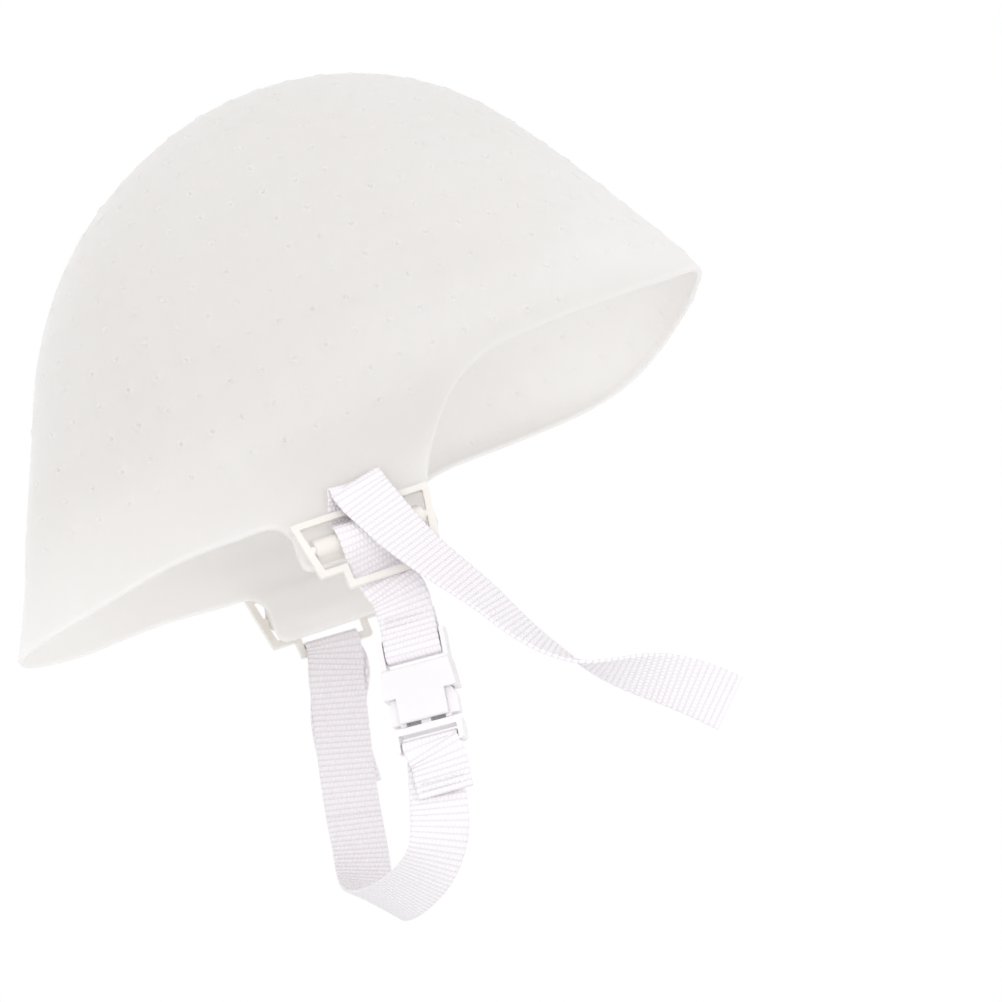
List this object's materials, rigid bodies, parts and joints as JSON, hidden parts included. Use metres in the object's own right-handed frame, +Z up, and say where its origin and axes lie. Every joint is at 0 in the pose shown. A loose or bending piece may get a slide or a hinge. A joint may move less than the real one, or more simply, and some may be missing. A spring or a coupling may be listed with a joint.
{
  "type": "highlighting cap",
  "caption": "Soft perforation-dimpled silicone hair highlighting cap with ear tabs, stepped strap frames and a buckled webbing chin strap.",
  "frame": {"origin": "in the head opening, midway between the two ear tabs and level with the top bars of the strap frames", "axes": "+X to the forehead brim, +Y to the wearer's left, +Z up through the crown; the chin strap hangs along -Z"},
  "size_m": [0.21, 0.1144, 0.2498],
  "materials": {
    "silicone": "translucent off-white, soft satin",
    "frame_plastic": "cream-white moulded plastic",
    "buckle_plastic": "white moulded plastic, slight gloss",
    "webbing": "white ribbed polyester webbing",
    "thread": "white sewing thread"
  },
  "bodies": {
    "cap": {"silicone_cap": "silicone", "tail_strap": "webbing", "loop_strap": "webbing", "buckle_socket": "buckle_plastic", "socket_stitching": "thread", "left_frame_stitching": "thread"},
    "right_frame": {"right_strap_frame": "frame_plastic"},
    "left_frame": {"left_strap_frame": "frame_plastic"},
    "clip": {"buckle_clip": "buckle_plastic", "clip_stitching": "thread"},
    "front_prong": {"front_prong": "buckle_plastic"},
    "rear_prong": {"rear_prong": "buckle_plastic"}
  },
  "joints": [
    {"name": "right_frame_swing", "type": "hinge", "parent": "cap", "child": "right_frame", "pos_m": [0.00146, -0.0361, -0.00736], "axis": [0.9808, 0, 0.1951], "range_deg": [-7, 3.5], "deforming": ["tail_strap"]},
    {"name": "left_frame_swing", "type": "hinge", "parent": "cap", "child": "left_frame", "pos_m": [-0.00334, 0.0361, -0.00372], "axis": [-0.9808, 0, -0.1951], "range_deg": [-7, 3.5], "deforming": ["loop_strap"]},
    {"name": "clip_release", "type": "slide", "parent": "cap", "child": "clip", "axis": [0, 0, -1], "range_m": [0, 0.03], "deforming": ["loop_strap", "front_prong", "rear_prong"]},
    {"name": "front_prong_press", "type": "hinge", "parent": "clip", "child": "front_prong", "pos_m": [0.01389, -0.03725, -0.0633], "axis": [-0.4226, -0.9063, 0], "range_deg": [0, 13], "stiffness_Nm_per_rad": 0.05},
    {"name": "rear_prong_press", "type": "hinge", "parent": "clip", "child": "rear_prong", "pos_m": [0.00211, -0.03175, -0.0633], "axis": [0.4226, 0.9063, 0], "range_deg": [0, 13], "stiffness_Nm_per_rad": 0.05}
  ],
  "couplings": [
    {"joint": "rear_prong_press", "follows": "front_prong_press", "ratio": 1}
  ]
}
